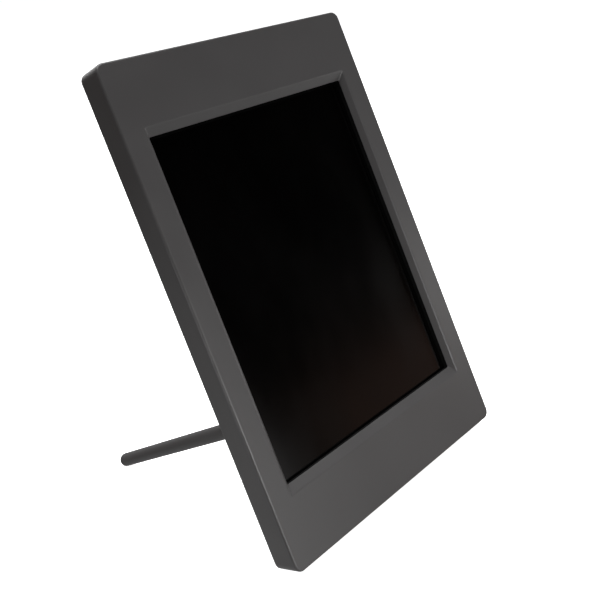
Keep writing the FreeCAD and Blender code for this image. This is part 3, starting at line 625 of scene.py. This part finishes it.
def camera():
    data = bpy.data.cameras.new("camera")
    data.sensor_width = SENSOR_WIDTH
    data.lens = CAMERA_LENS
    data.shift_y = CAMERA_SHIFT_Y
    data.clip_start = 0.01
    data.clip_end = 60.0
    cam = bpy.data.objects.new("camera", data)
    turn = Matrix.Rotation(math.radians(-CAMERA_BEARING_DEG), 4, "Z")
    tilt = Matrix.Rotation(math.radians(90 - CAMERA_DOWN_DEG), 4, "X")
    roll = Matrix.Rotation(math.radians(CAMERA_ROLL_DEG), 4, "Z")
    cam.matrix_world = Matrix.Translation(CAMERA_PLACE) @ turn @ tilt @ roll
    bpy.context.scene.collection.objects.link(cam)
    bpy.context.scene.camera = cam


FLOOR_SIZE = 24.0
FLOOR_GLOW = 1.0
PLAIN = (1.0, 1.0, 1.0)
WARM = (1.0, 0.6, 0.48)
# name, place, aim, size, power, colour
SOFTBOXES = (
    ("overhead", (0.0, 0.2, 1.5), (0.0, 0.0, 0.1), (1.4, 1.0), 34.0, PLAIN),
    ("front_near", (-0.12, -0.42, 0.09), (0.0, -0.06, 0.02), (0.22, 0.12), 0.18, PLAIN),
    ("front_far", (0.0, -0.75, 0.12), (0.0, -0.06, 0.04), (0.3, 0.2), 2.7, PLAIN),
    ("left_low", (-0.36, 0.0, 0.035), (-0.07, 0.0, 0.02), (0.3, 0.06), 0.27, PLAIN),
    ("right_side", (0.95, -0.2, 0.25), (0.0, 0.0, 0.05), (0.6, 0.4), 0.57, PLAIN),
    ("right_near", (0.5, -0.25, 0.06), (0.07, -0.05, 0.03), (0.2, 0.1), 0.36, PLAIN),
    ("front_right", (0.16, -0.5, 0.05), (0.06, -0.06, 0.03), (0.12, 0.08), 0.036, PLAIN),
    ("warm_low", (0.86, -0.87, 0.04), (0.0, -0.04, 0.05), (0.5, 0.17), 0.09, WARM),
    ("back_soft", (0.2, 1.3, 0.5), (0.0, 0.0, 0.1), (0.8, 0.6), 3.0, PLAIN),
)
# how high a direction points, from -1 straight down to 1 straight up, and its colour there
SURROUND = (
    (-0.65, (0.64, 0.64, 0.64)),
    (-0.3, (0.02, 0.02, 0.02)),
    (-0.05, (0.14, 0.1, 0.08)),
    (0.12, (0.01, 0.01, 0.01)),
    (0.45, (0.01, 0.01, 0.01)),
)


def softbox(name, place, aim, size, power, colour):
    data = bpy.data.lights.new(name, "AREA")
    data.shape = "RECTANGLE"
    data.size, data.size_y = size
    data.energy = power
    data.color = colour
    lamp = bpy.data.objects.new(name, data)
    lamp.location = place
    lamp.rotation_euler = (Vector(aim) - Vector(place)).to_track_quat("-Z", "Y").to_euler()
    lamp.visible_camera = False
    bpy.context.scene.collection.objects.link(lamp)


def white_surround():
    """A surround that is white to the camera, and lights the object mostly from below."""
    world = bpy.data.worlds.new("surround")
    world.use_nodes = True
    tree = world.node_tree
    split = tree.nodes.new("ShaderNodeSeparateXYZ")
    tree.links.new(tree.nodes.new("ShaderNodeTexCoord").outputs["Generated"], split.inputs[0])
    height = tree.nodes.new("ShaderNodeMapRange")
    height.inputs["From Min"].default_value = -1.0
    tree.links.new(split.outputs["Z"], height.inputs["Value"])
    ramp = tree.nodes.new("ShaderNodeValToRGB")
    stops = ramp.color_ramp.elements
    while len(stops) < len(SURROUND):
        stops.new(0.5)
    for stop, (z, colour) in zip(stops, SURROUND):
        stop.position = (z + 1) / 2
        stop.color = (*colour, 1.0)
    tree.links.new(height.outputs["Result"], ramp.inputs["Fac"])
    pick = tree.nodes.new("ShaderNodeMix")
    pick.data_type = "RGBA"
    tree.links.new(tree.nodes.new("ShaderNodeLightPath").outputs["Is Camera Ray"], pick.inputs["Factor"])
    tree.links.new(ramp.outputs["Color"], pick.inputs[6])
    pick.inputs[7].default_value = (1.0, 1.0, 1.0, 1.0)
    tree.links.new(pick.outputs[2], tree.nodes["Background"].inputs["Color"])
    bpy.context.scene.world = world


def stage_and_light():
    bpy.ops.mesh.primitive_grid_add(x_subdivisions=2, y_subdivisions=2, size=FLOOR_SIZE)
    floor = bpy.context.object
    floor.name = "floor"
    floor.data.materials.append(floor_paper("floor_paper", FLOOR_GLOW))
    floor.visible_diffuse = False
    floor.visible_glossy = False
    for lamp in SOFTBOXES:
        softbox(*lamp)
    white_surround()
    bpy.context.scene.view_settings.view_transform = "Standard"


dress_cad_nodes()
picture_area()
key_signs()
dust_cloths()
card_contacts()
usb_contacts()
rating_plate()
stage_and_light()
camera()
